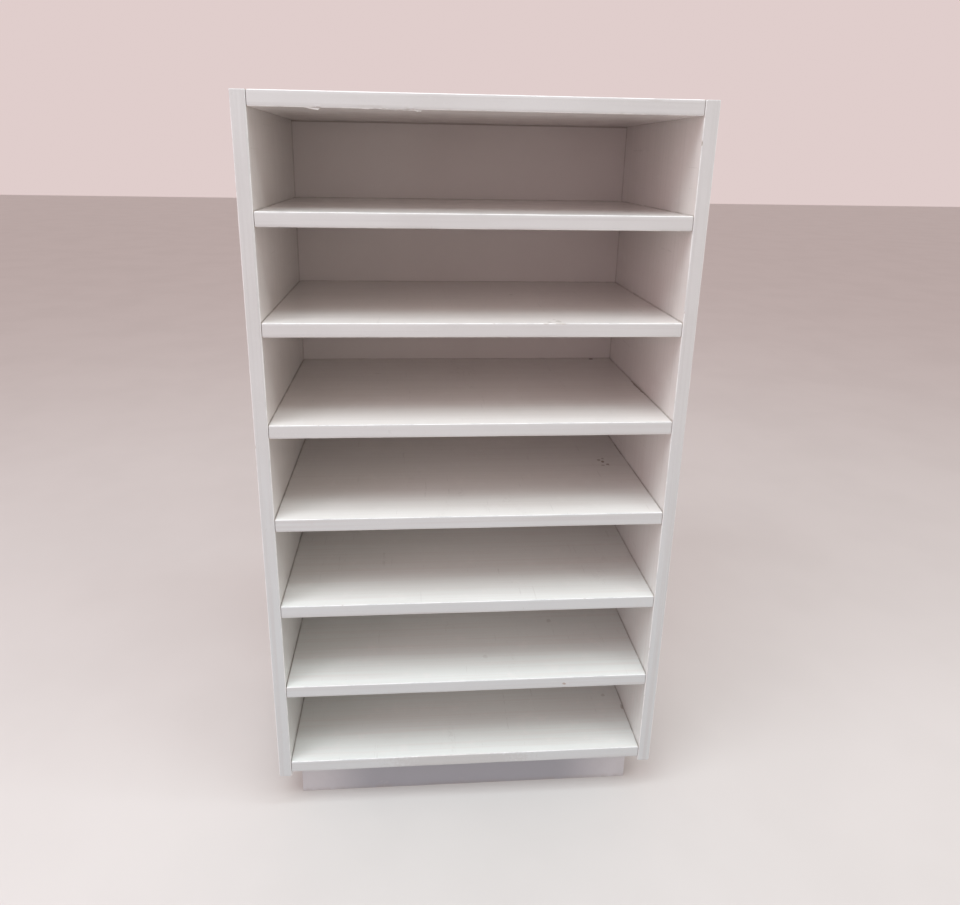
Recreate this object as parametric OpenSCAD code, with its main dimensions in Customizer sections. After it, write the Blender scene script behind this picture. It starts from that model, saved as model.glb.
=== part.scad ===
// Free-standing open shelf unit with seven equal tiers, in faced board.
// Two side panels carry a top panel, six fixed shelves and a bottom panel on screws and dowels.
// A thin back panel slides in a groove, and a recessed plinth carries the whole on the floor.
// Millimetres, +Z up. The open front faces -Y. The origin is on the floor, under the middle.

/* [Unit] */
// Width over the two side panels
unit_w = 500; // [400:10:800]
// Depth from the front edges to the rear edges
unit_d = 300; // [240:10:400]
// Height from the floor to the top
unit_h = 900; // [850:10:1200]
// Thickness of the sides, top, bottom, shelves and plinth
board = 16; // [15:1:19]
// Number of tiers, one more than the number of shelves
tiers = 7; // [3:1:7]
// Gap at each end of a shelf, seen as a dark seam
seam = 0.5; // [0.2:0.1:1]

/* [Edges] */
// Thickness of the plastic strip on the front edges
band = 1; // [1:0.5:3]
// Radius of the strip's two rounded corners, no more than its thickness
edge_r = 1; // [0.5:0.5:2]
// Thickness of the strip on the top end of each side panel
end_band = 1; // [0.5:0.5:2]

/* [Back panel] */
// Thickness of the back panel
back_t = 3; // [2:0.5:4]
// Distance from the back panel to the rear edges of the sides
back_lip = 9; // [6:1:20]
// Depth of the grooves that hold the back panel
groove_d = 6; // [4:1:8]
// Free play of the back panel in its grooves
groove_play = 0.2; // [0.1:0.1:0.5]

/* [Plinth] */
// Height of the plinth, which is the height of the bottom panel's underside
plinth_h = 58; // [50:1:120]
// How far the plinth is set in from the front, the sides and the back
plinth_inset = 25; // [15:1:60]
// How far the side panels hang below the bottom panel
side_drop = 7; // [0:1:20]
// Width of the square corner blocks inside the plinth
block_w = 28; // [20:1:40]
// Height of the corner blocks
block_h = 40; // [30:1:40]

/* [Joints] */
// Distance of the screws from the front edge and from the back panel
screw_inset = 50; // [35:1:70]
// Length of the screws that hold the shelves
screw_l = 50; // [40:1:60]
// Diameter of the dowel in the middle of each board end
dowel_d = 8; // [6:1:8]
// Length of the dowel
dowel_l = 30; // [25:1:35]
// Depth of the dowel in the side panel
dowel_in_side = 10; // [8:1:11]
// Radial room around each screw and dowel
fit_gap = 0.1; // [0.05:0.05:0.2]
// Height of the domed covers over the screw heads
cap_h = 1.2; // [0.8:0.2:2]
// Distance of the back panel's screws from the middle
back_screw_x = 150; // [60:5:160]

/* [Hidden] */
$fn = 32;
// How far a cutting shape runs past the face that it starts from
overrun = 1;

front_y = -unit_d / 2;
rear_y = unit_d / 2;
back_y = rear_y - back_lip - back_t;
inner_w = unit_w - 2 * board;
shelf_l = inner_w - 2 * seam;
pitch = (unit_h - board - plinth_h) / tiers;
board_front_y = front_y + band;
side_z = plinth_h - side_drop;

// Undersides of the horizontal boards, from the bottom panel to the top panel
top_z = unit_h - board;
bottom_z = plinth_h;
function shelf_z(number) = plinth_h + (tiers - number) * pitch;
shelf_zs = [for (number = [1:tiers - 1]) shelf_z(number)];
board_zs = concat([bottom_z, top_z], shelf_zs);
screwed_back_zs = concat([bottom_z], shelf_zs);

// Shelf screw: a countersunk head with a hexagon socket, a plain shoulder and the thread's outline
head_r = 5;
head_rim = 1.2;
head_h = 3;
thread_r = 3.5;
tip_r = 1.6;
tip_l = 4;
socket_af = 4;
socket_h = 3;
screw_ys = [front_y + screw_inset, back_y - screw_inset];
dowel_y = (screw_ys[0] + screw_ys[1]) / 2;
dowel_z = board - dowel_in_side;
dowel_chamfer = 1;

// Cover over a screw head
cap_r = 6.25;
cap_rim = 0.3;
cap_stem_r = 1.9;
cap_stem_l = 2.5;

// Back panel screw, with a pan head
pan_r = 3.5;
pan_rim = 0.6;
pan_h = 2;
back_screw_r = 1.75;
back_screw_l = 16;

// Plinth screw, up through a corner block
plinth_screw_r = 2.25;
plinth_screw_l = 50;
plinth_head_r = 4.2;
plinth_head_h = 2.5;

// Cross slot in the heads of the back panel and plinth screws
recess_l = 3.6;
recess_w = 0.8;
recess_h = 1.3;

plinth_w = unit_w - 2 * plinth_inset;
plinth_d = unit_d - 2 * plinth_inset;
block_x = plinth_w / 2 - board - block_w / 2;
block_y = plinth_d / 2 - board - block_w / 2;
block_z = plinth_h - block_h;

white_board = [0.85, 0.83, 0.81];
white_band = [0.88, 0.86, 0.84];
white_back = [0.80, 0.77, 0.75];
white_plinth = [0.78, 0.77, 0.78];
white_cap = [0.90, 0.90, 0.88];
beech = [0.80, 0.66, 0.47];
zinc = [0.70, 0.70, 0.72];

SHELVES = [for (number = [1:tiers - 1]) str("shelf_", number)];
SHELF_BANDS = [for (number = [1:tiers - 1]) str("edge_band_shelf_", number)];

// Section of a front strip: depth along X, board thickness along Y, rounded at its two front corners
module band_section() {
    intersection() {
        square([band, board]);
        union() {
            translate([0, edge_r]) square([band, board - 2 * edge_r]);
            translate([edge_r, 0]) square([band, board]);
            for (corner = [edge_r, board - edge_r])
                translate([edge_r, corner]) circle(r = edge_r);
        }
    }
}

// Front strip of a horizontal board with its underside at z
module board_band(z) {
    color(white_band)
        translate([-shelf_l / 2, front_y, z])
            rotate([90, 0, 90])
                linear_extrude(shelf_l) band_section();
}

// Front strip of a side panel: side is -1 for the left and 1 for the right
module side_band(side) {
    color(white_band)
        translate([side * (unit_w - board) / 2 + board / 2, front_y, side_z])
            rotate(90)
                linear_extrude(unit_h - side_z) band_section();
}

// Strip on the top end of a side panel
module side_end_band(side) {
    color(white_band)
        translate([side * (unit_w - board) / 2 - board / 2, board_front_y, unit_h - end_band])
            cube([board, rear_y - board_front_y, end_band]);
}

// Puts its children at a side panel's outer face, with their +Z pointing into the unit
module from_side(side, y, z) {
    translate([side * unit_w / 2, y, z + board / 2])
        rotate([0, -side * 90, 0])
            children();
}

// Shelf screw along +Z with its head at the origin, made larger all round by grow
module screw_form(grow) {
    translate([0, 0, -grow]) cylinder(r = head_r + grow, h = head_rim + grow);
    translate([0, 0, head_rim])
        cylinder(r1 = head_r + grow, r2 = thread_r + grow, h = head_h - head_rim);
    cylinder(r = thread_r + grow, h = screw_l - tip_l + grow);
    translate([0, 0, screw_l - tip_l])
        cylinder(r1 = thread_r + grow, r2 = tip_r + grow, h = tip_l + grow);
}

// Dowel along +Z from its blind end in the side panel, with chamfered ends
module dowel() {
    r = dowel_d / 2;
    translate([0, 0, dowel_z]) {
        cylinder(r1 = r - dowel_chamfer, r2 = r, h = dowel_chamfer);
        translate([0, 0, dowel_chamfer]) cylinder(r = r, h = dowel_l - 2 * dowel_chamfer);
        translate([0, 0, dowel_l - dowel_chamfer])
            cylinder(r1 = r, r2 = r - dowel_chamfer, h = dowel_chamfer);
    }
}

module dowel_hole() {
    translate([0, 0, dowel_z - fit_gap])
        cylinder(r = dowel_d / 2 + fit_gap, h = dowel_l + 2 * fit_gap);
}

// Everything drilled at one side for the boards whose undersides are listed in zs
module joint_holes(side, zs) {
    for (z = zs) {
        for (y = screw_ys) from_side(side, y, z) screw_form(fit_gap);
        from_side(side, dowel_y, z) dowel_hole();
    }
}

// Puts its children at the rear face of the back panel, with their +Z pointing away from the unit
module back_screw_layout(zs) {
    for (z = zs)
        for (x = [-back_screw_x, back_screw_x])
            translate([x, back_y + back_t, z + board / 2])
                rotate([-90, 0, 0])
                    children();
}

// Shank of a back panel screw along -Z, made larger all round by grow
module back_screw_shank(grow) {
    translate([0, 0, -back_screw_l - grow])
        cylinder(r = back_screw_r + grow, h = back_screw_l + 2 * grow);
}

// Outline of a plinth screw, from the underside of its block up into the bottom panel
module plinth_screw_form(grow) {
    cylinder(r1 = plinth_head_r + grow, r2 = plinth_screw_r + grow, h = plinth_head_h);
    translate([0, 0, -grow]) cylinder(r = plinth_screw_r + grow, h = plinth_screw_l + 2 * grow);
}

module plinth_screw_layout() {
    for (x = [-block_x, block_x])
        for (y = [-block_y, block_y])
            translate([x, y, block_z]) children();
}

// Groove for the back panel's edge, wider than the panel by its free play
groove_w = back_t + groove_play;
groove_y = back_y - groove_play / 2;

module side_panel(side) {
    groove_x = side * inner_w / 2 - (side < 0 ? groove_d : 0);
    color(white_board)
        difference() {
            translate([side * (unit_w - board) / 2 - board / 2, board_front_y, side_z])
                cube([board, rear_y - board_front_y, unit_h - end_band - side_z]);
            translate([groove_x, groove_y, side_z - overrun])
                cube([groove_d, groove_w, top_z + groove_d - side_z + overrun]);
            joint_holes(side, board_zs);
        }
}

module top_panel() {
    color(white_board)
        difference() {
            translate([-shelf_l / 2, board_front_y, top_z])
                cube([shelf_l, rear_y - board_front_y, board]);
            translate([-unit_w / 2, groove_y, top_z - overrun])
                cube([unit_w, groove_w, groove_d + overrun]);
            for (side = [-1, 1]) joint_holes(side, [top_z]);
        }
}

// Shelf or bottom panel, which stops at the front of the back panel
module inner_board(z) {
    difference() {
        translate([-shelf_l / 2, board_front_y, z])
            cube([shelf_l, back_y - board_front_y, board]);
        for (side = [-1, 1]) joint_holes(side, [z]);
        back_screw_layout([z]) back_screw_shank(fit_gap);
    }
}

module shelf(number) {
    color(white_board) inner_board(shelf_z(number));
}

module bottom_panel() {
    color(white_board)
        difference() {
            inner_board(bottom_z);
            plinth_screw_layout() plinth_screw_form(fit_gap);
        }
}

module back_panel() {
    panel_w = inner_w + 2 * groove_d - 2 * groove_play;
    color(white_back)
        difference() {
            translate([-panel_w / 2, back_y, bottom_z])
                cube([panel_w, back_t, top_z + groove_d - groove_play - bottom_z]);
            back_screw_layout(screwed_back_zs) back_screw_shank(fit_gap);
        }
}

// Front or back board of the plinth: row is -1 for the front and 1 for the back
module plinth_long(row) {
    color(white_plinth)
        translate([-plinth_w / 2, row * (plinth_d - board) / 2 - board / 2, 0])
            cube([plinth_w, board, plinth_h]);
}

module plinth_short(side) {
    color(white_plinth)
        translate([side * (plinth_w - board) / 2 - board / 2, -plinth_d / 2 + board, 0])
            cube([board, plinth_d - 2 * board, plinth_h]);
}

module plinth_corner_blocks() {
    color(beech)
        difference() {
            plinth_screw_layout()
                translate([-block_w / 2, -block_w / 2, 0]) cube([block_w, block_w, block_h]);
            plinth_screw_layout() plinth_screw_form(fit_gap);
        }
}

module shelf_screws(side) {
    color(zinc)
        for (z = board_zs)
            for (y = screw_ys)
                from_side(side, y, z)
                    difference() {
                        screw_form(0);
                        translate([0, 0, -overrun])
                            cylinder(d = socket_af / cos(30), h = socket_h + overrun, $fn = 6);
                    }
}

// Domed cover with a stem that presses into the screw's socket
module screw_cap() {
    dome_h = cap_h - cap_rim;
    dome = [for (turn = [0:15:90]) [cap_r * cos(turn), -cap_rim - dome_h * sin(turn)]];
    stem = [[0, cap_stem_l], [cap_stem_r, cap_stem_l], [cap_stem_r, 0], [cap_r, 0]];
    rotate_extrude() polygon(concat(stem, dome));
}

module screw_caps(side) {
    color(white_cap)
        for (z = board_zs)
            for (y = screw_ys)
                from_side(side, y, z) screw_cap();
}

module dowels(side) {
    color(beech)
        for (z = board_zs) from_side(side, dowel_y, z) dowel();
}

// Cross slot cut downwards from a screw head's face
module cross_recess() {
    for (turn = [0, 90])
        rotate(turn)
            translate([-recess_l / 2, -recess_w / 2, -recess_h])
                cube([recess_l, recess_w, recess_h + overrun]);
}

module pan_head() {
    crown = [for (turn = [0:15:90]) [pan_r * cos(turn), pan_rim + (pan_h - pan_rim) * sin(turn)]];
    difference() {
        rotate_extrude() polygon(concat([[0, 0], [pan_r, 0]], crown));
        translate([0, 0, pan_h]) cross_recess();
    }
}

module back_panel_screws() {
    color(zinc)
        back_screw_layout(screwed_back_zs) {
            back_screw_shank(0);
            pan_head();
        }
}

module plinth_screws() {
    color(zinc)
        plinth_screw_layout()
            difference() {
                plinth_screw_form(0);
                mirror([0, 0, 1]) cross_recess();
            }
}

side_panel(-1);  // side_panel_left
side_panel(1);  // side_panel_right
top_panel();
bottom_panel();
for (number = [1:tiers - 1]) {
    shelf(number);
    board_band(shelf_z(number));
}
back_panel();
plinth_long(-1);  // plinth_front
plinth_long(1);  // plinth_back
plinth_short(-1);  // plinth_left
plinth_short(1);  // plinth_right
plinth_corner_blocks();
side_band(-1);  // edge_band_side_left
side_band(1);  // edge_band_side_right
board_band(top_z);  // edge_band_top
board_band(bottom_z);  // edge_band_bottom
side_end_band(-1);  // end_band_left
side_end_band(1);  // end_band_right
shelf_screws(-1);  // shelf_screws_left
shelf_screws(1);  // shelf_screws_right
screw_caps(-1);  // screw_caps_left
screw_caps(1);  // screw_caps_right
dowels(-1);  // dowels_left
dowels(1);  // dowels_right
back_panel_screws();
plinth_screws();
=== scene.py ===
"""Looks of the open tiered shelf unit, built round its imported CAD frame, in metres."""

import math
import random

import bmesh
import bpy
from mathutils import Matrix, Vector, noise


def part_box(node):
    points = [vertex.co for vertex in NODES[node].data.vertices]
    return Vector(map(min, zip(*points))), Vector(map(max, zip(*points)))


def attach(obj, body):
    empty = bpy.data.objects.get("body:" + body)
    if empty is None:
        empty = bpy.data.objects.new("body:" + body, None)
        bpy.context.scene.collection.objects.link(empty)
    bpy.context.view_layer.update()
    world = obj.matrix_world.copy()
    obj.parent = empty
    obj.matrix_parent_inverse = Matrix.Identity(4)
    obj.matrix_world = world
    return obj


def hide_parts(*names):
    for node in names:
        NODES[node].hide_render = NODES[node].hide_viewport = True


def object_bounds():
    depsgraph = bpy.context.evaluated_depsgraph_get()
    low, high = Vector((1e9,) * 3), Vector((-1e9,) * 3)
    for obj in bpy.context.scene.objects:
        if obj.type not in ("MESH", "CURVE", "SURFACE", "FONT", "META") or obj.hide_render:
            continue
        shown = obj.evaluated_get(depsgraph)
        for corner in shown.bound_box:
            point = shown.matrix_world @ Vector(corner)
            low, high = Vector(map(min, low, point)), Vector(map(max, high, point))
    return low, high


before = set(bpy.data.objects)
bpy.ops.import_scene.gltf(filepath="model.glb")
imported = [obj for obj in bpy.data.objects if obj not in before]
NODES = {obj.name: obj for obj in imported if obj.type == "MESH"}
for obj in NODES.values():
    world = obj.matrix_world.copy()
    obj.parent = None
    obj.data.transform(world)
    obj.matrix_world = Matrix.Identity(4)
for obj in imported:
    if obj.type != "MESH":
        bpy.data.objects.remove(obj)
cad_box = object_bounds()

MM = 0.001
BODY = "root"
SHELVES = sorted(n for n in NODES if n.startswith("shelf_") and n[6:].isdigit())
BOARDS = ["top_panel", "bottom_panel"] + SHELVES
SIDES = ["side_panel_left", "side_panel_right"]
PLINTH = ["plinth_front", "plinth_back", "plinth_left", "plinth_right"]

# Planes of the unit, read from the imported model
BACK_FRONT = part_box("back_panel")[0][1]
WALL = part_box("side_panel_right")[0][0]
SHELF_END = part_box("shelf_1")[1][0]
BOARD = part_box("shelf_1")[1][2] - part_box("shelf_1")[0][2]
FIRST_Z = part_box("bottom_panel")[0][2]
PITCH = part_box(SHELVES[0])[0][2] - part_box(SHELVES[1])[0][2]
TOP = cad_box[1][2]


# Camera: the photograph's viewing angle, from the front, a little left of and above the middle

CAMERA_PLACE = (-0.0705, -0.941, 0.837)
CAMERA_TURN = (72.83, -0.93, -4.24)
CAMERA_LENS = 27.49
CAMERA_SHIFT = (0.0121, -0.0695)


def add_camera():
    data = bpy.data.cameras.new("camera")
    data.sensor_width = 36.0
    data.lens = CAMERA_LENS
    data.shift_x, data.shift_y = CAMERA_SHIFT
    data.clip_start = 0.05
    camera = bpy.data.objects.new("camera", data)
    camera.location = CAMERA_PLACE
    camera.rotation_euler = [math.radians(a) for a in CAMERA_TURN]
    bpy.context.scene.collection.objects.link(camera)
    bpy.context.scene.camera = camera


add_camera()


# Materials

class Net:
    """A material's node tree, with short calls for the nodes that every finish uses."""

    def __init__(self, name, rough=0.4, specular=0.5):
        self.mat = bpy.data.materials.new(name)
        self.mat.use_nodes = True
        self.tree = self.mat.node_tree
        self.shader = self.tree.nodes["Principled BSDF"]
        self.shader.inputs["Roughness"].default_value = rough
        self.shader.inputs["Specular IOR Level"].default_value = specular
        self.place = self.add("ShaderNodeTexCoord").outputs["Object"]
        self.x, self.y, self.z = self.split(self.place)

    def add(self, kind, inputs=None, **settings):
        node = self.tree.nodes.new(kind)
        for key, value in settings.items():
            setattr(node, key, value)
        for key, value in (inputs or {}).items():
            self.feed(node.inputs[key], value)
        return node

    def feed(self, socket, value):
        if isinstance(value, bpy.types.NodeSocket):
            self.tree.links.new(value, socket)
        else:
            socket.default_value = value

    def split(self, vector):
        node = self.add("ShaderNodeSeparateXYZ", {"Vector": vector})
        return [node.outputs[axis] for axis in "XYZ"]

    def math(self, operation, first, second=0.0, clamp=False):
        return self.add("ShaderNodeMath", {0: first, 1: second}, operation=operation,
                        use_clamp=clamp).outputs[0]

    def times(self, *values):
        result = values[0]
        for value in values[1:]:
            result = self.math("MULTIPLY", result, value)
        return result

    def most(self, *values):
        result = values[0]
        for value in values[1:]:
            result = self.math("MAXIMUM", result, value)
        return result

    def step(self, value, low, high):
        """Rises smoothly from 0 at low to 1 at high, or falls where low is the larger."""
        node = self.add("ShaderNodeMapRange", {"Value": value, "From Min": low, "From Max": high},
                        interpolation_type="SMOOTHSTEP")
        return node.outputs["Result"]

    def stretched(self, stretch, shift):
        node = self.add("ShaderNodeMapping", {"Vector": self.place, "Location": [shift] * 3,
                                              "Scale": stretch})
        return node.outputs["Vector"]

    def noise(self, scale, detail=2.0, rough=0.5, stretch=(1, 1, 1), shift=0.0):
        node = self.add("ShaderNodeTexNoise", {"Vector": self.stretched(stretch, shift), "Scale": scale,
                                               "Detail": detail, "Roughness": rough})
        return node.outputs["Fac"]

    def cells(self, scale, stretch=(1, 1, 1), shift=0.0):
        """Distance to the nearest cell point, and one random number for each cell."""
        node = self.add("ShaderNodeTexVoronoi", {"Vector": self.stretched(stretch, shift),
                                                 "Scale": scale})
        return node.outputs["Distance"], self.split(node.outputs["Color"])[0]

    def tint(self, colour, other, amount):
        node = self.add("ShaderNodeMix", data_type="RGBA")
        self.feed(node.inputs["Factor"], amount)
        for label, value in (("A", colour), ("B", other)):
            if isinstance(value, tuple):
                value = (*value, 1.0)
            socket = [s for s in node.inputs if s.name == label and s.type == "RGBA"][0]
            self.feed(socket, value)
        return [s for s in node.outputs if s.type == "RGBA"][0]

    def spot(self, centre, radii, ragged):
        """A stain or a painted shadow round a point: 1 inside, 0 outside, with a ragged outline."""
        offset = self.add("ShaderNodeVectorMath", {0: self.place, 1: centre}, operation="SUBTRACT")
        scaled = self.add("ShaderNodeVectorMath", {0: offset.outputs[0], 1: radii}, operation="DIVIDE")
        length = self.add("ShaderNodeVectorMath", {0: scaled.outputs[0]}, operation="LENGTH")
        distance = self.math("ADD", length.outputs["Value"], ragged)
        return self.step(distance, 1.25, 0.75)

    def colour(self, value):
        self.feed(self.shader.inputs["Base Color"], value)

    def rough(self, value):
        self.feed(self.shader.inputs["Roughness"], value)

    def relief(self, layers):
        """Stacks bumps: each layer is a height, its strength and the depth it stands for."""
        normal = None
        for height, strength, depth in layers:
            node = self.add("ShaderNodeBump", {"Height": height, "Strength": strength,
                                               "Distance": depth})
            if normal is not None:
                self.feed(node.inputs["Normal"], normal)
            normal = node.outputs["Normal"]
        self.feed(self.shader.inputs["Normal"], normal)


def scratches(net, along, shift):
    """Thin lines that run along one axis, where the mask of a broader noise lets them show."""
    stretch = [260.0, 260.0, 260.0]
    stretch[along] = 9.0
    return net.step(net.noise(1.0, 1.0, 0.4, stretch, shift), 0.70, 0.74)


def specks(net, scale, share, size, shift=0.0):
    """Small separate dots: the share of cells that have one, and its size within the cell."""
    distance, chance = net.cells(scale, (1, 1, 1), shift)
    return net.times(net.step(distance, size, size * 0.6), net.step(chance, 1 - share, 1.001 - share))


def over_boards(net):
    """1 in the corner just over each board, for dirt and painted shade on the upright faces."""
    level = net.math("MODULO", net.math("SUBTRACT", net.z, FIRST_Z + BOARD - PITCH), PITCH)
    return net.step(level, 1.6 * MM, 0.1 * MM)


def under_boards(net):
    """1 in the corner just under each board, where the back panel gets a painted shadow line."""
    level = net.math("MODULO", net.math("SUBTRACT", net.z, FIRST_Z - PITCH), PITCH)
    return net.step(level, PITCH - 2.4 * MM, PITCH - 0.4 * MM)


def streaks(net, along, shift):
    """Soft long streaks of the lacquer, along one axis."""
    stretch = [230.0, 230.0, 230.0]
    stretch[along] = 3.0
    return net.noise(1.0, 3.0, 0.6, stretch, shift)


def near(net, value, plane, reach):
    """Rises to 1 as the value nears a plane from below."""
    return net.step(value, plane - reach, plane - 0.1 * MM)


CHIP_DARK = (0.47, 0.33, 0.20)
CHIP_LIGHT = (0.66, 0.51, 0.34)
CHIP_GAP = (0.30, 0.20, 0.12)
CHIP_DUST = (0.72, 0.60, 0.44)


def core_colour(net, fine):
    """Raw particle board: pressed chips of several browns."""
    distance, chance = net.cells(430.0, (1, 1, 1.4), 2.0)
    colour = net.tint(CHIP_DARK, CHIP_LIGHT, chance)
    colour = net.tint(colour, CHIP_GAP, net.times(net.step(distance, 0.45, 0.8), 0.7))
    return net.tint(colour, CHIP_DUST, net.step(fine, 0.56, 0.75)), distance


def faced(net, axis):
    """1 on the two faced sides of a board whose thickness runs along the axis, 0 on its raw edges."""
    normal = net.add("ShaderNodeNewGeometry").outputs["True Normal"]
    return net.step(net.math("ABSOLUTE", net.split(normal)[axis]), 0.35, 0.45)


def indoors(net):
    """1 inside the tiers, 0 on the outer faces of the side panels and of the top panel."""
    across = net.step(net.math("ABSOLUTE", net.x), WALL + 1.0 * MM, WALL + 0.3 * MM)
    return net.times(across, net.step(net.z, TOP - 0.3 * MM, TOP - 1.0 * MM))


def grey(value):
    return (value, value, value)


# Dirt and wear, on every finish; the grime colour also serves as painted shade in the corners and in one
# broad mark
GRIME_AND_SHADE = (0.34, 0.29, 0.25)
RUB = (0.50, 0.47, 0.45)
DUST = (0.520, 0.498, 0.480)

# The boards' white face, and the heights between which it turns cooler downwards, as painted cool bounce
# light
WHITE = (0.812, 0.768, 0.744)
DULL_WHITE = (0.787, 0.740, 0.712)
CLEAN_WHITE = (0.84, 0.81, 0.79)
STREAK_WHITE = (0.742, 0.702, 0.676)
COOL_BOUNCE_WHITE = (0.766, 0.788, 0.768)
SETTLED_DIRT = (0.62, 0.57, 0.53)
SETTLED_BEHIND = 0.02
WARM_ABOVE = 0.66
COOL_BELOW = 0.12
RAW_ROUGH = grey(0.85)

# Marks on the boards: place in metres, half sizes in millimetres, and darkness
SHELF_MARKS = [
    ((0.1945, 0.015, 0.428), (2.4, 3.6, 3.0), 0.65),
    ((0.1988, 0.009, 0.428), (2.2, 3.4, 3.0), 0.95),
    ((0.2015, 0.020, 0.428), (2.4, 3.0, 3.0), 0.60),
    ((0.2035, -0.001, 0.428), (2.4, 3.6, 3.0), 0.75),
    ((0.1960, -0.004, 0.428), (2.4, 2.2, 3.0), 0.55),
    ((0.2334, -0.012, 0.546), (2.5, 34.0, 2.0), 0.90),
    ((0.2335, 0.050, 0.428), (1.8, 22.0, 2.0), 0.65),
    ((0.2336, -0.060, 0.428), (0.9, 30.0, 2.0), 0.40),
    ((0.0830, -0.1440, 0.664), (3.0, 3.6, 2.0), 0.36),
    ((0.0940, -0.1400, 0.664), (3.2, 4.6, 2.0), 0.40),
    ((0.0905, -0.1300, 0.664), (2.2, 3.0, 2.0), 0.25),
    ((0.2030, 0.1340, 0.546), (3.4, 5.0, 2.0), 1.00),
    ((0.232, -0.073, 0.074), (2.4, 5.0, 2.0), 0.55),
    ((0.210, -0.047, 0.074), (3.5, 3.0, 2.0), 0.30),
    ((0.126, -0.027, 0.192), (3.8, 4.6, 2.0), 0.24),
    ((0.025, -0.103, 0.192), (3.6, 3.8, 2.0), 0.18),
    ((0.062, 0.030, 0.664), (3.5, 4.0, 2.0), 0.25),
    ((-0.120, 0.060, 0.546), (6.0, 2.0, 2.0), 0.22),
]


def stains_and_shade(net, colour, marks, ragged):
    """Adds each mark as a darkened patch with a ragged outline: stains, and one painted shadow on the
    bottom strip.
    """
    outline = net.math("SUBTRACT", net.times(ragged, 1.9), 0.85)
    for centre, size, dark in marks:
        stain = net.spot(centre, [s * MM for s in size], outline)
        colour = net.tint(colour, GRIME_AND_SHADE, net.times(stain, dark))
    return colour


def board_material(name, axis, marks):
    """White faced board: a satin melamine face over particle board."""
    net = Net(name)
    face = faced(net, axis)
    broad = net.noise(7.0, 2.0, 0.5)
    cloud = net.noise(42.0, 4.0, 0.62, shift=1.0)
    ragged = net.noise(210.0, 3.0, 0.7, shift=4.0)
    pearl = net.noise(620.0, 2.0, 0.55)
    lacquer = streaks(net, 0 if axis == 2 else 2, 5.0)
    inside = indoors(net)
    colour = net.tint(WHITE, DULL_WHITE, net.step(broad, 0.35, 0.70))
    # Cooler lower down: painted cool bounce light
    colour = net.tint(colour, COOL_BOUNCE_WHITE, net.times(net.step(net.z, WARM_ABOVE, COOL_BELOW), 0.85))
    colour = net.tint(colour, STREAK_WHITE, net.times(net.step(lacquer, 0.42, 0.72), 0.52))
    colour = net.tint(colour, CLEAN_WHITE, net.times(net.step(cloud, 0.46, 0.30), 0.35))
    deep = net.step(net.y, SETTLED_BEHIND, BACK_FRONT)
    settled = net.times(deep, net.step(cloud, 0.42, 0.72), inside)
    colour = net.tint(colour, SETTLED_DIRT, net.times(settled, 0.16))
    lines = net.times(scratches(net, 1, 7.0), net.step(cloud, 0.46, 0.60))
    rubbed = net.times(net.step(net.noise(16.0, 4.0, 0.7, (1, 0.35, 1), 11.0), 0.60, 0.72),
                       net.step(ragged, 0.42, 0.62))
    colour = net.tint(colour, RUB, net.most(net.times(lines, 0.22), net.times(rubbed, 0.20)))
    colour = net.tint(colour, GRIME_AND_SHADE, net.times(specks(net, 70.0, 0.030, 0.055), 0.7))
    # Dark lines along the back panel, and at the shelf ends or over each board: partly dirt, partly
    # painted shade in the corners
    corner = near(net, net.y, BACK_FRONT, 1.8 * MM)
    if axis == 2:
        corner = net.most(corner, near(net, net.math("ABSOLUTE", net.x), SHELF_END, 1.6 * MM))
    else:
        corner = net.most(corner, over_boards(net))
    held = net.math("ADD", net.times(net.step(cloud, 0.30, 0.62), 0.46), 0.12)
    colour = net.tint(colour, GRIME_AND_SHADE, net.times(corner, held, inside))
    colour = stains_and_shade(net, colour, marks, ragged)
    film = net.math("ADD", net.times(net.step(lacquer, 0.38, 0.66), 0.10), 0.84)
    uppermost = net.step(net.z, TOP - 0.5 * MM, TOP - 0.2 * MM)
    colour = net.tint(colour, DUST, net.times(uppermost, film))
    core, chips = core_colour(net, pearl)
    net.colour(net.tint(core, colour, face))
    satin = net.math("ADD", net.times(cloud, 0.10), 0.12)
    worn = net.math("ADD", satin, net.times(net.most(lines, rubbed, settled), 0.03))
    net.rough(net.tint(RAW_ROUGH, worn, face))
    raw = net.times(net.math("SUBTRACT", 1.0, face), chips)
    net.relief([(pearl, 0.10, 0.12 * MM), (lacquer, 0.12, 0.12 * MM), (raw, 0.8, 0.7 * MM)])
    return net.mat


# The strips' plastic, darker than the boards as painted shade on the front faces, and cooler downwards as
# painted cool bounce light
STRIP_SHADED_WHITE = (0.565, 0.555, 0.553)
STRIP_DULL = (0.540, 0.528, 0.524)
STRIP_COOL_BOUNCE = (0.528, 0.562, 0.572)
STRIP_STREAK = (0.475, 0.460, 0.455)
STRIP_PALE = (0.62, 0.61, 0.605)
STRIP_ARRIS_HIGHLIGHT = (0.88, 0.875, 0.87)
STRIP_CHIP = (0.42, 0.37, 0.33)
STRIP_WARM_ABOVE = 0.72
STRIP_COOL_BELOW = 0.20

# Marks on the strips, as above; the broad one across the bottom strip is painted shadow
STRIP_MARKS = [
    ((0.095, -0.1495, 0.664), (9.0, 2.0, 1.6), 0.50),
    ((0.078, -0.1495, 0.6635), (4.0, 2.0, 1.2), 0.40),
    ((0.125, -0.150, 0.182), (2.8, 2.0, 1.7), 0.95),
    ((0.234, -0.149, 0.857), (1.2, 2.0, 2.6), 0.75),
    # Painted shadow across the middle of the bottom strip
    ((-0.012, -0.150, 0.066), (95.0, 3.0, 14.0), 0.20),
    ((0.180, -0.150, 0.898), (8.0, 2.0, 1.0), 0.18),
    ((-0.110, -0.150, 0.8865), (16.0, 2.0, 0.8), 0.20),
]


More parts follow.
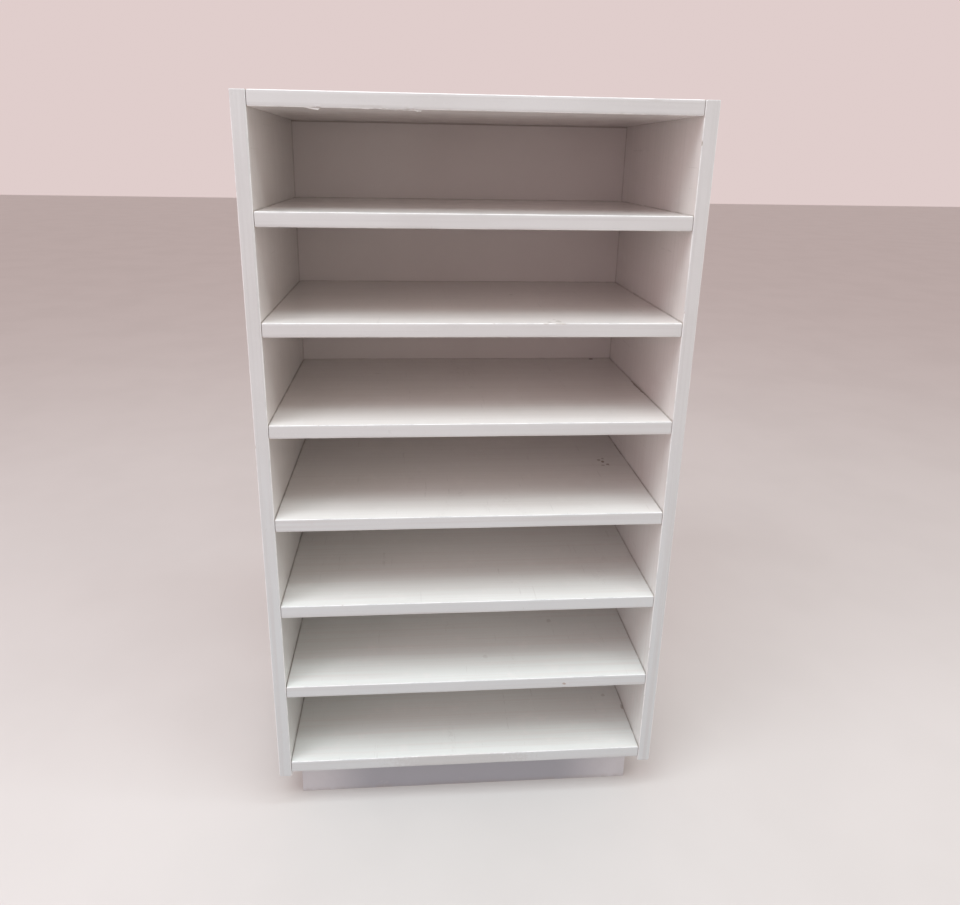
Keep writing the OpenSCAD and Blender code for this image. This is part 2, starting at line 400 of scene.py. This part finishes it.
def strip_material(name, along):
    """White plastic edge strip that runs along one axis, streaked, knocked and rubbed, darker than the
    boards as painted shade, cooler downwards as painted bounce light, and with a painted highlight on its
    rounded corners.
    """
    net = Net(name)
    drawn = streaks(net, along, 8.0)
    wear = net.add("ShaderNodeAttribute", attribute_name="wear").outputs["Fac"]
    arris = net.add("ShaderNodeAttribute", attribute_name="arris").outputs["Fac"]
    broad = net.noise(9.0, 2.0, 0.5, shift=2.0)
    cloud = net.noise(36.0, 4.0, 0.65, shift=3.0)
    ragged = net.noise(330.0, 3.0, 0.7, shift=1.0)
    # Darker than the boards: painted shade on the front faces
    colour = net.tint(STRIP_SHADED_WHITE, STRIP_DULL, net.step(broad, 0.35, 0.70))
    # Cooler lower down: painted cool bounce light
    lower = net.step(net.z, STRIP_WARM_ABOVE, STRIP_COOL_BELOW)
    colour = net.tint(colour, STRIP_COOL_BOUNCE, net.times(lower, 0.85))
    colour = net.tint(colour, STRIP_STREAK, net.times(net.step(drawn, 0.44, 0.70), 0.45))
    colour = net.tint(colour, STRIP_PALE, net.times(net.step(ragged, 0.55, 0.75), 0.30))
    # Lighter on the rounded corners: painted highlight
    colour = net.tint(colour, STRIP_ARRIS_HIGHLIGHT, net.times(arris, net.step(cloud, 0.25, 0.60), 0.8))
    smear = net.times(net.step(cloud, 0.62, 0.72), net.step(ragged, 0.42, 0.60))
    colour = net.tint(colour, RUB, net.times(smear, 0.22))
    colour = net.tint(colour, GRIME_AND_SHADE, net.times(specks(net, 60.0, 0.035, 0.06, 3.0), 0.6))
    chipped = net.times(wear, net.step(ragged, 0.30, 0.62))
    colour = net.tint(colour, STRIP_CHIP, net.times(chipped, 0.75))
    net.colour(stains_and_shade(net, colour, STRIP_MARKS, ragged))
    satin = net.math("ADD", net.times(cloud, 0.12), 0.24)
    net.rough(net.math("ADD", satin, net.times(net.most(smear, chipped), 0.22)))
    net.relief([(net.noise(30.0, 1.0, 0.4), 0.30, 0.6 * MM), (drawn, 0.15, 0.15 * MM),
                (ragged, net.times(wear, 0.8), 0.5 * MM)])
    return net.mat


BACK_WHITE = (0.785, 0.735, 0.716)
BACK_DULL = (0.755, 0.700, 0.682)
BACK_SHADOW_LINE = (0.22, 0.17, 0.14)
BARE_BROWN = (0.30, 0.185, 0.105)
BARE_LIGHT = (0.43, 0.29, 0.18)
BARE_FLECK = (0.54, 0.40, 0.27)
BARE_STAIN = (0.24, 0.15, 0.09)


def back_material():
    """Thin fibreboard: lacquered warm white on the inside, bare and brown behind."""
    net = Net("back_board")
    normal = net.add("ShaderNodeNewGeometry").outputs["True Normal"]
    inside = net.step(net.split(normal)[1], -0.3, -0.5)
    broad = net.noise(6.0, 2.0, 0.5, shift=3.0)
    cloud = net.noise(38.0, 3.0, 0.6)
    colour = net.tint(BACK_WHITE, BACK_DULL, net.step(broad, 0.35, 0.70))
    # Darker at the walls and over each board: partly dirt, partly painted shade; the dark line under each
    # board is painted shadow
    corner = net.most(over_boards(net), near(net, net.math("ABSOLUTE", net.x), WALL, 1.4 * MM))
    held = net.math("ADD", net.times(net.step(cloud, 0.30, 0.62), 0.34), 0.20)
    colour = net.tint(colour, GRIME_AND_SHADE, net.times(corner, held))
    colour = net.tint(colour, BACK_SHADOW_LINE, net.times(under_boards(net), 0.62))
    # Cooler lower down: painted cool bounce light
    colour = net.tint(colour, COOL_BOUNCE_WHITE, net.times(net.step(net.z, WARM_ABOVE, COOL_BELOW), 0.70))
    fibre = net.noise(260.0, 4.0, 0.7, (1, 1, 0.35), 2.0)
    flecks = net.noise(900.0, 2.0, 0.6, (1, 1, 0.5), 4.0)
    bare = net.tint(BARE_BROWN, BARE_LIGHT, net.step(fibre, 0.35, 0.68))
    bare = net.tint(bare, BARE_FLECK, net.times(net.step(flecks, 0.60, 0.74), 0.6))
    bare = net.tint(bare, BARE_STAIN, net.times(net.step(cloud, 0.58, 0.70), 0.35))
    net.colour(net.tint(bare, colour, inside))
    net.rough(net.tint(grey(0.62), grey(0.36), inside))
    net.relief([(fibre, 0.15, 0.2 * MM)])
    return net.mat


# The plinth's grey is painted shade under the cabinet's overhang, and the darkest colour is a painted
# shadow over its middle, fading out towards the ends
PLINTH_SHADED_GREY = (0.560, 0.565, 0.590)
PLINTH_DULL = (0.535, 0.540, 0.565)
PLINTH_SHADOW = (0.290, 0.300, 0.335)
SHADOW_OUT_FROM = 0.215
SHADOW_FULL_WITHIN = 0.120


def plinth_material(name, axis, edged=False):
    """Faced board, cool grey as painted shade, with a painted shadow over its middle and dirt at its foot;
    an edged board has faced ends too.
    """
    net = Net(name)
    face = net.most(faced(net, axis), faced(net, 0)) if edged else faced(net, axis)
    cloud = net.noise(40.0, 4.0, 0.7, shift=4.0)
    fine = net.noise(560.0, 2.0, 0.55)
    colour = net.tint(PLINTH_SHADED_GREY, PLINTH_DULL, net.step(cloud, 0.35, 0.70))
    # Painted shadow over the middle, lighter towards the ends
    middle = net.step(net.math("ABSOLUTE", net.x), SHADOW_OUT_FROM, SHADOW_FULL_WITHIN)
    colour = net.tint(colour, PLINTH_SHADOW, net.times(middle, 0.80))
    foot = net.times(net.step(net.z, 7 * MM, 0.5 * MM), net.step(cloud, 0.32, 0.66))
    colour = net.tint(colour, GRIME_AND_SHADE, net.times(foot, 0.35))
    kicks = net.times(net.step(cloud, 0.60, 0.68), net.step(net.noise(300.0, 2.0, 0.6), 0.42, 0.62))
    colour = net.tint(colour, RUB, net.times(kicks, 0.25))
    core, chips = core_colour(net, fine)
    net.colour(net.tint(core, colour, face))
    net.rough(net.tint(RAW_ROUGH, net.math("ADD", net.times(foot, 0.25), 0.38), face))
    raw = net.times(net.math("SUBTRACT", 1.0, face), chips)
    net.relief([(fine, 0.10, 0.12 * MM), (raw, 0.8, 0.7 * MM)])
    return net.mat


BEECH = (0.60, 0.43, 0.26)
BEECH_PALE = (0.74, 0.58, 0.39)
BEECH_PORE = (0.40, 0.26, 0.14)


def beech_material(name, stretch):
    """Raw beech with grain that runs along the axis of the smallest stretch."""
    net = Net(name, rough=0.6)
    grain = net.noise(1.0, 4.0, 0.6, stretch)
    pores = net.noise(3.6, 2.0, 0.5, stretch, 2.0)
    colour = net.tint(BEECH, BEECH_PALE, net.step(grain, 0.30, 0.70))
    net.colour(net.tint(colour, BEECH_PORE, net.times(net.step(pores, 0.60, 0.72), 0.55)))
    net.rough(net.math("ADD", net.times(grain, 0.2), 0.5))
    net.relief([(grain, 0.3, 0.2 * MM), (pores, 0.25, 0.15 * MM)])
    return net.mat


ZINC = (0.62, 0.63, 0.65)
ZINC_WARM = (0.74, 0.73, 0.70)


def zinc_material():
    """Bright zinc plate, slightly cloudy, with fine turning lines."""
    net = Net("zinc_steel")
    net.shader.inputs["Metallic"].default_value = 1.0
    cloud = net.noise(500.0, 3.0, 0.6)
    net.colour(net.tint(ZINC, ZINC_WARM, net.step(cloud, 0.35, 0.70)))
    net.rough(net.math("ADD", net.times(cloud, 0.22), 0.20))
    net.relief([(net.noise(2600.0, 2.0, 0.5), 0.15, 0.05 * MM)])
    return net.mat


CAP_WHITE = (0.84, 0.83, 0.80)
CAP_DULL = (0.80, 0.785, 0.75)


def cap_material():
    """Moulded white plastic."""
    net = Net("cap_plastic")
    cloud = net.noise(240.0, 2.0, 0.5)
    scuffs = net.step(net.noise(700.0, 3.0, 0.7), 0.62, 0.75)
    colour = net.tint(CAP_WHITE, CAP_DULL, net.step(cloud, 0.35, 0.70))
    net.colour(net.tint(colour, RUB, net.times(scuffs, 0.3)))
    net.rough(net.math("ADD", net.times(cloud, 0.15), 0.34))
    net.relief([(net.noise(1500.0, 2.0, 0.5), 0.2, 0.05 * MM)])
    return net.mat


def dress(names, material):
    """Gives CAD nodes their material."""
    for name in names:
        for holder in NODES[name].material_slots:
            holder.material = material


FLAT_STRIP = strip_material("strip_flat", 0)
UPRIGHT_STRIP = strip_material("strip_upright", 2)
CAP = cap_material()
dress(BOARDS, board_material("board_flat", 2, SHELF_MARKS))
dress(SIDES, board_material("board_upright", 0, []))
dress(["back_panel"], back_material())
dress(["plinth_front"], plinth_material("plinth_front", 1, edged=True))
dress(["plinth_back"], plinth_material("plinth_back", 1))
dress(["plinth_left", "plinth_right"], plinth_material("plinth_short", 0))
dress(["plinth_corner_blocks"], beech_material("beech_blocks", (260, 260, 18)))
dress(["dowels_left", "dowels_right"], beech_material("beech_dowels", (18, 260, 260)))
dress([n for n in NODES if "_screws" in n], zinc_material())
dress(["end_band_left", "end_band_right"], strip_material("strip_end", 1))


# Softened arrises on the boards

ARRIS = 0.3 * MM


def outer_arrises():
    """Node group that marks the edges of a board's outer block, and no hole or groove, for the bevel."""
    group = bpy.data.node_groups.new("outer_arrises", "GeometryNodeTree")
    group.interface.new_socket("Geometry", in_out="INPUT", socket_type="NodeSocketGeometry")
    group.interface.new_socket("Geometry", in_out="OUTPUT", socket_type="NodeSocketGeometry")
    new, link = group.nodes.new, group.links.new
    source, sink = new("NodeGroupInput"), new("NodeGroupOutput")
    block, ends = new("GeometryNodeBoundBox"), new("GeometryNodeInputMeshEdgeVertices")
    link(source.outputs[0], block.inputs["Geometry"])

    def vector(operation, first, second):
        node = new("ShaderNodeVectorMath")
        node.operation = operation
        link(first, node.inputs[0])
        link(second, node.inputs[1])
        return node.outputs["Vector"]

    def number(operation, first, second):
        node = new("ShaderNodeMath")
        node.operation = operation
        link(first, node.inputs[0])
        if isinstance(second, float):
            node.inputs[1].default_value = second
        else:
            link(second, node.inputs[1])
        return node.outputs[0]

    low, high = block.outputs["Min"], block.outputs["Max"]
    one, two = ends.outputs["Position 1"], ends.outputs["Position 2"]
    from_low = vector("MAXIMUM", vector("SUBTRACT", one, low), vector("SUBTRACT", two, low))
    from_high = vector("MAXIMUM", vector("SUBTRACT", high, one), vector("SUBTRACT", high, two))
    apart = new("ShaderNodeSeparateXYZ")
    link(vector("MINIMUM", from_low, from_high), apart.inputs[0])
    on = [number("LESS_THAN", apart.outputs[i], 0.01 * MM) for i in range(3)]
    corner = number("GREATER_THAN", number("ADD", number("ADD", on[0], on[1]), on[2]), 1.5)
    store = new("GeometryNodeStoreNamedAttribute")
    store.data_type = "FLOAT"
    store.domain = "EDGE"
    store.inputs["Name"].default_value = "bevel_weight_edge"
    link(source.outputs[0], store.inputs["Geometry"])
    link(corner, store.inputs["Value"])
    link(store.outputs["Geometry"], sink.inputs[0])
    return group


def soften(names, width):
    """Rounds only the outer arrises of the boards, by modifiers on the CAD nodes."""
    group = outer_arrises()
    for name in names:
        node = NODES[name]
        node.modifiers.new("weld", "WELD").merge_threshold = 0.01 * MM
        flat = node.modifiers.new("flat", "DECIMATE")
        flat.decimate_type = "DISSOLVE"
        flat.angle_limit = math.radians(1)
        node.modifiers.new("arrises", "NODES").node_group = group
        bevel = node.modifiers.new("bevel", "BEVEL")
        bevel.width = width
        bevel.segments = 2
        bevel.limit_method = "WEIGHT"
        bevel.use_clamp_overlap = False
        bevel.harden_normals = False


soften(BOARDS + SIDES + PLINTH + ["back_panel"], ARRIS)


# Edge strips: a rounded section swept along each front edge, with waves, nicks and rounded ends

STRIP_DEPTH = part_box("edge_band_top")[1][1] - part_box("edge_band_top")[0][1]
ARC_STEPS = 6
FLAT_STEPS = 6
RING_GAP = 6 * MM
LEAST_GAP = 0.08 * MM
END_INSETS = [0.1 * MM, 0.25 * MM, 0.5 * MM, 0.8 * MM, 1.15 * MM, 1.5 * MM]
END_ROUND = 0.9 * MM
CORNER_ROUND = 1.5 * MM

# How far the faces and the corners draw in, evenly and with the ripple, and the ripple's pace
FACE_DRAW = 0.04 * MM
FACE_RIPPLE = 0.04 * MM
CORNER_DRAW = 0.07 * MM
CORNER_RIPPLE = 0.09 * MM
RIPPLE_PACE = 14

# Nicks: one random nick for each stretch of strip, of a reach and a depth between these bounds,
# cut ragged at this pace, and looked for within so many reaches
NICK_STRETCH = 0.09
NICK_REACH = (0.8 * MM, 2.4 * MM)
NICK_DEPTH = (0.15 * MM, 0.45 * MM)
NICK_PACE = 900
NICK_SPREAD = 2.4
FULL_WEAR = 0.3 * MM


def rounded(end, radius):
    """How far an outline of the given corner radius draws in, at a distance from the strip's end."""
    if end >= radius:
        return 0.0
    return radius - math.sqrt(radius ** 2 - (radius - end) ** 2)


def strip_section():
    """Points (back from the front face, across, side, turn) from the lower back corner round the front."""
    r = STRIP_DEPTH
    turns = [math.pi / 2 * k / ARC_STEPS for k in range(ARC_STEPS + 1)]
    points = [(r - r * math.sin(a), r - r * math.cos(a), -1, a) for a in turns]
    gap = (BOARD - 2 * r) / FLAT_STEPS
    points += [(0.0, r + gap * k, 0, 0.0) for k in range(1, FLAT_STEPS)]
    points += [(r - r * math.cos(a), BOARD - r + r * math.sin(a), 1, a) for a in turns]
    return points


def strip_rings(length, nicks):
    """Places of the rings along a strip, closer together at its ends and round each nick."""
    count = round(length / RING_GAP)
    places = {round(length * k / count, 7) for k in range(count + 1)}
    for inset in END_INSETS:
        places |= {round(inset, 7), round(length - inset, 7)}
    for centre, side, reach, depth in nicks:
        places |= {round(centre + reach * k / 3, 7) for k in range(-7, 8)}
    ordered = []
    for place in sorted(p for p in places if 0 <= p <= length):
        if not ordered or place - ordered[-1] > LEAST_GAP:
            ordered.append(place)
    ordered[-1] = length
    return ordered


def random_nicks(seed, length, count):
    """Nicks as (place along the strip, lower or upper corner, reach, depth)."""
    draw = random.Random(seed)
    nicks = []
    for _ in range(count):
        reach = draw.uniform(*NICK_REACH)
        place = draw.uniform(0.02, 0.98) * length
        side = draw.choice((-1, 1))
        nicks.append((place, side, reach, draw.uniform(*NICK_DEPTH)))
    return nicks


def knocked(along, side, turn, nicks, seed):
    """How deep the nicks cut the corner at one point, and how worn it is there, from 0 to 1."""
    cut, worn = 0.0, 0.0
    for centre, nick_side, reach, depth in nicks:
        gap = (along - centre) / reach
        if nick_side == side and abs(gap) < NICK_SPREAD:
            grain = 0.75 + 0.5 * noise.noise(Vector((along * NICK_PACE, turn * 2, seed)))
            hit = math.exp(-gap * gap) * math.sin(2 * turn) * grain
            cut += max(hit, 0.0) * depth
            worn = max(worn, min(1.0, hit * depth / FULL_WEAR))
    return cut, worn


def drawn_in(back, across, side, push):
    """Moves a point of the section towards the middle of its rounding, or straight back if flat."""
    middle = (STRIP_DEPTH, across)
    if side:
        middle = (STRIP_DEPTH, STRIP_DEPTH if side < 0 else BOARD - STRIP_DEPTH)
    reach = max(math.hypot(middle[0] - back, middle[1] - across), 1e-9)
    share = min(push, reach * 0.8) / reach
    return back + (middle[0] - back) * share, across + (middle[1] - across) * share


def strip_points(length, nicks, seed):
    """Rings of a strip as (along, back, across) points, with each point's wear and its share of arris."""
    section = strip_section()
    points, wear, arris = [], [], []
    rings = strip_rings(length, nicks)
    for along in rings:
        end = min(along, length - along)
        lost = rounded(end, END_ROUND)
        slim = 1 - 2 * rounded(end, CORNER_ROUND) / BOARD
        for back, across, side, turn in section:
            ripple = noise.noise(Vector((along * RIPPLE_PACE, side * 3.1 + seed, seed * 1.7)))
            push, worn = FACE_DRAW + FACE_RIPPLE * ripple, 0.0
            if side:
                cut, worn = knocked(along, side, turn, nicks, seed)
                edge = math.sin(2 * turn) ** 0.5 if 0 < turn < math.pi / 2 else 0.0
                push = edge * (CORNER_DRAW + CORNER_RIPPLE * ripple) + cut
            back, across = drawn_in(back, across, side, push)
            back += lost * (1 - back / STRIP_DEPTH)
            across = BOARD / 2 + (across - BOARD / 2) * slim
            points.append((along, back, across))
            wear.append(worn)
            arris.append(math.sin(2 * turn) if side else 0.0)
    return points, wear, arris, len(rings), len(section)


def add_piece(name, mesh, material, nodes, sharp=35):
    """Puts a finished mesh into the scene as a piece of the body, in place of the CAD nodes."""
    mesh.materials.append(material)
    mesh.polygons.foreach_set("use_smooth", [True] * len(mesh.polygons))
    mesh.set_sharp_from_angle(angle=math.radians(sharp))
    piece = bpy.data.objects.new(name, mesh)
    bpy.context.scene.collection.objects.link(piece)
    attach(piece, BODY)
    if nodes:
        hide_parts(*nodes)
    return piece


def finish_mesh(bm, name):
    bmesh.ops.recalc_face_normals(bm, faces=bm.faces)
    mesh = bpy.data.meshes.new(name)
    bm.to_mesh(mesh)
    bm.free()
    return mesh


def add_strip(name, node, upright, nicks, seed):
    """One edge strip in place of its CAD node, with its own nicks besides the ones given."""
    low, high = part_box(node)
    axis = 2 if upright else 0
    length = high[axis] - low[axis]
    nicks = [(place - low[axis], *rest) for place, *rest in nicks]
    nicks += random_nicks(seed, length, round(length / NICK_STRETCH))
    points, wear, arris, rings, width = strip_points(length, nicks, seed)
    bm = bmesh.new()
    for layer in ("wear", "arris"):
        bm.verts.layers.float.new(layer)
    wear_layer, arris_layer = bm.verts.layers.float["wear"], bm.verts.layers.float["arris"]
    verts = []
    for (along, back, across), worn, share in zip(points, wear, arris):
        spot = (low[0] + along, low[1] + back, low[2] + across)
        if upright:
            spot = (low[0] + across, low[1] + back, low[2] + along)
        vert = bm.verts.new(spot)
        vert[wear_layer] = worn
        vert[arris_layer] = share
        verts.append(vert)
    for ring in range(rings - 1):
        one, two = ring * width, (ring + 1) * width
        for k in range(width):
            m = (k + 1) % width
            bm.faces.new((verts[one + k], verts[one + m], verts[two + m], verts[two + k]))
    bm.faces.new(verts[:width])
    bm.faces.new(verts[-width:])
    material = UPRIGHT_STRIP if upright else FLAT_STRIP
    add_piece(name, finish_mesh(bm, name), material, [node])


# Nicks in known places: place along the strip, lower or upper corner, reach and depth
SEEN_NICKS = {
    "edge_band_top": [(-0.164, -1, 3.0 * MM, 0.9 * MM), (-0.071, -1, 3.5 * MM, 0.8 * MM),
                      (-0.098, -1, 2.0 * MM, 0.5 * MM)],
    "edge_band_side_right": [(0.857, -1, 2.2 * MM, 1.0 * MM), (0.884, -1, 1.8 * MM, 0.7 * MM)],
    "edge_band_side_left": [(0.520, -1, 1.8 * MM, 0.5 * MM)],
    "edge_band_shelf_2": [(0.095, 1, 3.2 * MM, 0.25 * MM)],
    "edge_band_shelf_6": [(0.125, -1, 1.8 * MM, 0.7 * MM)],
}

STRIPS = sorted(n for n in NODES if n.startswith("edge_band_"))
for number, node in enumerate(STRIPS, start=1):
    nicks = SEEN_NICKS.get(node, [])
    add_strip(node.replace("edge_band", "strip"), node, "side" in node, nicks, number)


# Slivers of strip that hang loose from the lower corner of the top panel's edge: middle along X,
# then length, drop and gap to the strip at the loose end, in millimetres

SLIVERS = [(-0.1700, 17.0, 3.0, 1.2), (-0.1210, 20.0, 0.9, 0.0), (-0.0890, 46.0, 1.7, 1.0),
           (-0.0665, 14.0, 2.8, 1.3)]
SLIVER_STEPS = 16
SLIVER_THICK = 0.18 * MM
SLIVER_LEAST = 0.15 * MM
SLIVER_ROOT = (0.25 * MM, 0.35 * MM)
SLIVER_LEAN = 0.45
LOOSE_END = 0.88


def add_slivers():
    """Each sliver is held at its left end, and hangs lowest just before its loose right end."""
    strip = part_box("edge_band_top")[0]
    start = (strip[1] + SLIVER_ROOT[0], strip[2] + SLIVER_ROOT[1])
    bm = bmesh.new()
    arris = bm.verts.layers.float.new("arris")
    for middle, length, drop, gap in SLIVERS:
        rows = []
        for k in range(SLIVER_STEPS + 1):
            t = k / SLIVER_STEPS
            x = middle + (t - 0.5) * length * MM
            shape = max(min(t / LOOSE_END, (1 - t) / (1 - LOOSE_END)), 0.0) ** 0.8
            ragged = 0.85 + 0.3 * noise.noise(Vector((x * 700, 1.3, 2.1)))
            upper = gap * t * MM
            lower = max(upper + SLIVER_LEAST, drop * shape * ragged * MM)
            root = (start[0] + SLIVER_LEAN * upper, start[1] - upper)
            tip = (start[0] + SLIVER_LEAN * lower, start[1] - lower)
            row = [(x, *root), (x, *tip), (x, tip[0] + SLIVER_THICK, tip[1]),
                   (x, root[0] + SLIVER_THICK, root[1])]
            rows.append([bm.verts.new(corner) for corner in row])
        for one, two in zip(rows, rows[1:]):
            for k in range(4):
                m = (k + 1) % 4
                bm.faces.new((one[k], one[m], two[m], two[k]))
        bm.faces.new(rows[0])
        bm.faces.new(rows[-1])
    # The slivers take the painted highlight colour all over
    for vert in bm.verts:
        vert[arris] = 1.0
    add_piece("strip_top_slivers", finish_mesh(bm, "strip_top_slivers"), FLAT_STRIP, [])


add_slivers()


# Cap domes over the shelf screws

CAP_R = 6.25 * MM
CAP_RIM = 0.3 * MM
RIM_CUT = 0.10 * MM
RIM_RISE = 0.08 * MM
STEM_R = 1.9 * MM
STEM_TIP_R = 1.6 * MM
STEM_DEPTH = 2.5 * MM
STEM_TAPER = 0.4 * MM
CAP_TURNS = 40
DOME_STEPS = 10


def cap_outline(height):
    """Radius and height of a cap's outline, from the stem's foot to the middle of the dome."""
    stem = [(0.0, -STEM_DEPTH), (STEM_TIP_R, -STEM_DEPTH),
            (STEM_R, STEM_TAPER - STEM_DEPTH), (STEM_R, 0.0)]
    rim = [(CAP_R - RIM_CUT, 0.0), (CAP_R, RIM_RISE), (CAP_R, CAP_RIM)]
    dome = []
    for k in range(1, DOME_STEPS + 1):
        a = math.pi / 2 * k / DOME_STEPS
        dome.append((CAP_R * math.cos(a), CAP_RIM + (height - CAP_RIM) * math.sin(a)))
    dome[-1] = (0.0, height)
    return stem + rim + dome


def add_lathe(bm, outline, centre, out, turns):
    """Turns an outline round an axis that leaves the centre along X, outwards."""
    rows = []
    for radius, height in outline:
        x = centre[0] + out * height
        if radius == 0.0:
            rows.append([bm.verts.new((x, centre[1], centre[2]))])
            continue
        row = []
        for k in range(turns):
            a = 2 * math.pi * k / turns
            y, z = centre[1] + radius * math.cos(a), centre[2] + radius * math.sin(a)
            row.append(bm.verts.new((x, y, z)))
        rows.append(row)
    for one, two in zip(rows, rows[1:]):
        for k in range(turns):
            m = (k + 1) % turns
            corners = [one[k % len(one)], one[m % len(one)], two[m % len(two)], two[k % len(two)]]
            bm.faces.new(list(dict.fromkeys(corners)))


def add_caps(side, out):
    """The domed caps of one side in one piece, one over each shelf screw."""
    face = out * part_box("side_panel_right")[1][0]
    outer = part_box("screw_caps_" + side)
    height = max(abs(outer[0][0]), abs(outer[1][0])) - abs(face)
    ys = [outer[0][1] + CAP_R, outer[1][1] - CAP_R]
    bm = bmesh.new()
    for board in BOARDS:
        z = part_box(board)[0][2] + BOARD / 2
        for y in ys:
            add_lathe(bm, cap_outline(height), (face, y, z), out, CAP_TURNS)
    name = "cap_domes_" + side
    add_piece(name, finish_mesh(bm, name), CAP, ["screw_caps_" + side], 50)


add_caps("left", -1)
add_caps("right", 1)


# Floor and light

FLOOR_SIZE = 30
FLOOR_GREY = (0.62, 0.600, 0.585)
FLOOR_DULL = (0.60, 0.580, 0.565)


def add_floor():
    bpy.ops.mesh.primitive_plane_add(size=FLOOR_SIZE, location=(0, 0, 0))
    floor = bpy.context.object
    floor.name = "floor"
    net = Net("floor", rough=0.8)
    patch = net.noise(3.0, 3.0, 0.6)
    net.colour(net.tint(FLOOR_GREY, FLOOR_DULL, net.step(patch, 0.35, 0.70)))
    floor.data.materials.append(net.mat)


def add_lamp(name, place, target, size, power, colour):
    data = bpy.data.lights.new(name, "AREA")
    data.shape = "RECTANGLE"
    data.size, data.size_y = size
    data.energy = power
    data.color = colour
    lamp = bpy.data.objects.new(name, data)
    lamp.location = place
    aim = Vector(target) - Vector(place)
    lamp.rotation_euler = aim.to_track_quat("-Z", "Y").to_euler()
    bpy.context.scene.collection.objects.link(lamp)


def add_world(colour, strength):
    world = bpy.data.worlds.new("world")
    bpy.context.scene.world = world
    world.use_nodes = True
    background = world.node_tree.nodes["Background"]
    background.inputs["Color"].default_value = (*colour, 1.0)
    background.inputs["Strength"].default_value = strength


# Long panels under the ceiling: place over the floor, size, power and colour
CEILING = 2.4
CEILING_PANELS = {
    "over_left_near": ((-1.0, -0.725), (2.0, 0.45), 19.8, (0.86, 0.965, 1.0)),
    "over_left_far": ((-1.0, -1.35), (2.0, 0.80), 19.0, (0.80, 0.965, 1.0)),
    "over_right_near": ((1.0, -0.40), (2.0, 0.20), 10.2, (0.80, 0.945, 1.0)),
    "over_right_far": ((1.0, -1.15), (2.0, 0.40), 13.2, (0.86, 0.985, 1.0)),
}

# Panels in front, one on each side, turned towards the unit: place, power and colour
FRONT_PANELS = {
    "left": ((-2.2, -1.6, 1.2), 9.0, (1.0, 0.75, 0.84)),
    "right": ((2.2, -1.6, 1.2), 5.6, (0.80, 1.0, 0.90)),
}
FRONT_SIZE = (1.0, 1.6)
FRONT_AIM = (0, 0, 0.5)
SKY = (1.0, 0.825, 0.810)
SKY_STRENGTH = 0.745

add_floor()
for name, ((x, y), size, power, colour) in CEILING_PANELS.items():
    add_lamp(name, (x, y, CEILING), (x, y, 0), size, power, colour)
for name, (place, power, colour) in FRONT_PANELS.items():
    add_lamp(name, place, FRONT_AIM, FRONT_SIZE, power, colour)
add_world(SKY, SKY_STRENGTH)
bpy.context.scene.view_settings.view_transform = "Standard"
